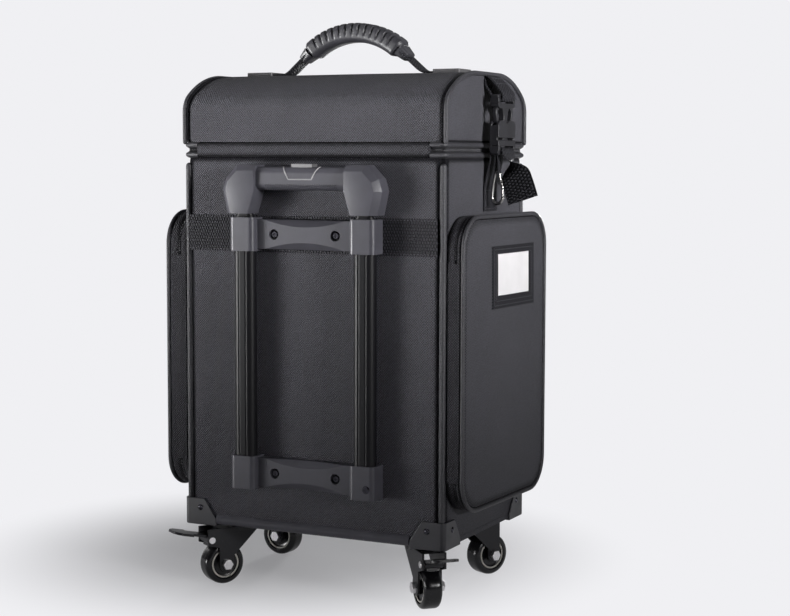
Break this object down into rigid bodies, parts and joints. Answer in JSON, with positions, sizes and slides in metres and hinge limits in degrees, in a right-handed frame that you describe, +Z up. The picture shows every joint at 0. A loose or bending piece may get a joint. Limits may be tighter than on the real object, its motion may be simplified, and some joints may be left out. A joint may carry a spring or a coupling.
{
  "type": "rolling makeup case",
  "caption": "Upright rolling makeup case in charcoal fabric over boards, with a zipped lid, telescopic trolley handle, hinged side pockets, buckled straps, carry handle and swivel casters",
  "frame": {"origin": "on the floor under the middle of the case", "axes": "+Z up, +X to the right seen from the handle side, the handle side faces -Y"},
  "size_m": [0.462, 0.2736, 0.673],
  "materials": {
    "fabric": "plain woven charcoal cloth over board",
    "webbing": "ribbed black webbing",
    "black_plastic": "satin moulded black",
    "tube_black": "gloss black on aluminium tube",
    "black_steel": "gloss black on stamped steel",
    "bright_steel": "nickel plated",
    "silver_button": "silver painted plastic",
    "wheel_black": "gloss black tread on a cream ring",
    "white_card": "blank white card"
  },
  "bodies": {
    "case": {"back_panel": "fabric", "front_panel": "fabric", "left_panel": "fabric", "right_panel": "fabric", "bottom_board": "fabric", "bottom_rails": "black_plastic", "corner_protectors": "black_plastic", "corner_rivets": "black_steel", "edge_piping": "fabric", "zip_tape_lower": "webbing", "hinge_cover": "fabric", "back_webbing": "webbing", "outer_tubes": "tube_black", "upper_bracket": "black_plastic", "lower_bracket": "black_plastic", "case_screws": "bright_steel", "pocket_trays": "fabric", "body_straps": "webbing", "buckle_sockets": "black_plastic", "hook_loop": "bright_steel", "caster_plates": "black_steel"},
    "lid": {"lid_shell": "fabric", "lid_ends": "fabric", "lid_piping": "fabric", "zip_tape_upper": "webbing", "lid_straps": "webbing", "buckle_plugs": "black_plastic", "carry_plates": "bright_steel", "carry_strap": "webbing"},
    "carry_handle": {"carry_grip": "black_plastic"},
    "trolley_middle": {"middle_tubes": "tube_black"},
    "trolley_handle": {"inner_tubes": "tube_black", "grip_shoulders": "black_plastic", "grip_bar": "black_plastic", "button_spring": "bright_steel"},
    "trolley_release": {"trolley_button": "silver_button"},
    "right_pocket": {"right_pocket_cover": "fabric", "card_window": "webbing", "name_card": "white_card"},
    "left_pocket": {"left_pocket_cover": "fabric"},
    "swivel_back_left": {"fork_back_left": "black_steel", "axle_back_left": "bright_steel"},
    "roller_back_left": {"wheel_back_left": "wheel_black"},
    "swivel_back_right": {"fork_back_right": "black_steel", "axle_back_right": "bright_steel"},
    "roller_back_right": {"wheel_back_right": "wheel_black"},
    "swivel_front_left": {"fork_front_left": "black_steel", "axle_front_left": "bright_steel"},
    "roller_front_left": {"wheel_front_left": "wheel_black"},
    "swivel_front_right": {"fork_front_right": "black_steel", "axle_front_right": "bright_steel"},
    "roller_front_right": {"wheel_front_right": "wheel_black"},
    "brake_left": {"pedal_left": "black_steel"},
    "brake_right": {"pedal_right": "black_steel"},
    "lid_zip_left": {"lid_slider_left": "bright_steel"},
    "lid_zip_right": {"lid_slider_right": "bright_steel"},
    "pocket_zip_left": {"pocket_slider_left": "bright_steel"},
    "pocket_zip_right": {"pocket_slider_right": "bright_steel"},
    "hook": {"snap_hook": "bright_steel"},
    "gate": {"hook_gate": "bright_steel"}
  },
  "joints": [
    {"name": "lid_hinge", "type": "hinge", "parent": "case", "child": "lid", "pos_m": [0, -0.115, 0.522], "axis": [1, 0, 0], "range_deg": [0, 95], "deforming": ["hinge_cover"]},
    {"name": "carry_swing", "type": "hinge", "parent": "lid", "child": "carry_handle", "pos_m": [0, 0, 0.6125], "axis": [1, 0, 0], "range_deg": [-40, 40], "stiffness_Nm_per_rad": 0.4, "deforming": ["carry_strap"]},
    {"name": "middle_slide", "type": "slide", "parent": "case", "child": "trolley_middle", "axis": [0, 0, -1], "range_m": [-0.25, 0]},
    {"name": "handle_slide", "type": "slide", "parent": "trolley_middle", "child": "trolley_handle", "axis": [0, 0, -1], "range_m": [-0.25, 0]},
    {"name": "button_press", "type": "slide", "parent": "trolley_handle", "child": "trolley_release", "axis": [0, 0, -1], "range_m": [0, 0.004], "stiffness_N_per_m": 1200, "springref_m": -0.003, "deforming": ["button_spring"]},
    {"name": "right_pocket_hinge", "type": "hinge", "parent": "case", "child": "right_pocket", "pos_m": [0.181, -0.11, 0.28], "axis": [0, 0, -1], "range_deg": [0, 100]},
    {"name": "left_pocket_hinge", "type": "hinge", "parent": "case", "child": "left_pocket", "pos_m": [-0.181, -0.11, 0.28], "axis": [0, 0, 1], "range_deg": [0, 100]},
    {"name": "swivel_turn_back_left", "type": "hinge", "parent": "case", "child": "swivel_back_left", "pos_m": [-0.121, -0.072, 0.067], "axis": [0, 0, 1], "continuous": true},
    {"name": "wheel_turn_back_left", "type": "hinge", "parent": "swivel_back_left", "child": "roller_back_left", "pos_m": [-0.135, -0.09355, 0.025], "axis": [0.8387, -0.5446, 0], "continuous": true},
    {"name": "swivel_turn_back_right", "type": "hinge", "parent": "case", "child": "swivel_back_right", "pos_m": [0.121, -0.072, 0.067], "axis": [0, 0, 1], "continuous": true},
    {"name": "wheel_turn_back_right", "type": "hinge", "parent": "swivel_back_right", "child": "roller_back_right", "pos_m": [0.13885, -0.09049, 0.025], "axis": [0.7193, 0.6947, 0], "continuous": true},
    {"name": "swivel_turn_front_left", "type": "hinge", "parent": "case", "child": "swivel_front_left", "pos_m": [-0.121, 0.072, 0.067], "axis": [0, 0, 1], "continuous": true},
    {"name": "wheel_turn_front_left", "type": "hinge", "parent": "swivel_front_left", "child": "roller_front_left", "pos_m": [-0.1466, 0.07424, 0.025], "axis": [-0.0872, -0.9962, 0], "continuous": true},
    {"name": "swivel_turn_front_right", "type": "hinge", "parent": "case", "child": "swivel_front_right", "pos_m": [0.121, 0.072, 0.067], "axis": [0, 0, 1], "continuous": true},
    {"name": "wheel_turn_front_right", "type": "hinge", "parent": "swivel_front_right", "child": "roller_front_right", "pos_m": [0.13267, 0.0949, 0.025], "axis": [-0.891, 0.454, 0], "continuous": true},
    {"name": "pedal_left_press", "type": "hinge", "parent": "swivel_back_left", "child": "brake_left", "pos_m": [-0.14551, -0.10974, 0.056], "axis": [0.8387, -0.5446, 0], "range_deg": [0, 12]},
    {"name": "pedal_right_press", "type": "hinge", "parent": "swivel_back_right", "child": "brake_right", "pos_m": [0.15226, -0.10437, 0.056], "axis": [0.7193, 0.6947, 0], "range_deg": [0, 12]},
    {"name": "lid_zip_left_run", "type": "slide", "parent": "case", "child": "lid_zip_left", "axis": [-1, 0, 0], "range_m": [0, 0.13]},
    {"name": "pocket_zip_left_run", "type": "slide", "parent": "case", "child": "pocket_zip_left", "axis": [0, 0, -1], "range_m": [0, 0.18]},
    {"name": "lid_zip_right_run", "type": "slide", "parent": "case", "child": "lid_zip_right", "axis": [1, 0, 0], "range_m": [0, 0.13]},
    {"name": "pocket_zip_right_run", "type": "slide", "parent": "case", "child": "pocket_zip_right", "axis": [0, 0, -1], "range_m": [0, 0.18]},
    {"name": "hook_swing", "type": "hinge", "parent": "case", "child": "hook", "pos_m": [0.186, -0.006, 0.495], "axis": [0, -1, 0], "range_deg": [-5, 60]},
    {"name": "gate_press", "type": "hinge", "parent": "hook", "child": "gate", "pos_m": [0.1925, -0.006, 0.4779], "axis": [0, 1, 0], "range_deg": [0, 25], "stiffness_Nm_per_rad": 0.02, "springref_deg": -17.19}
  ]
}
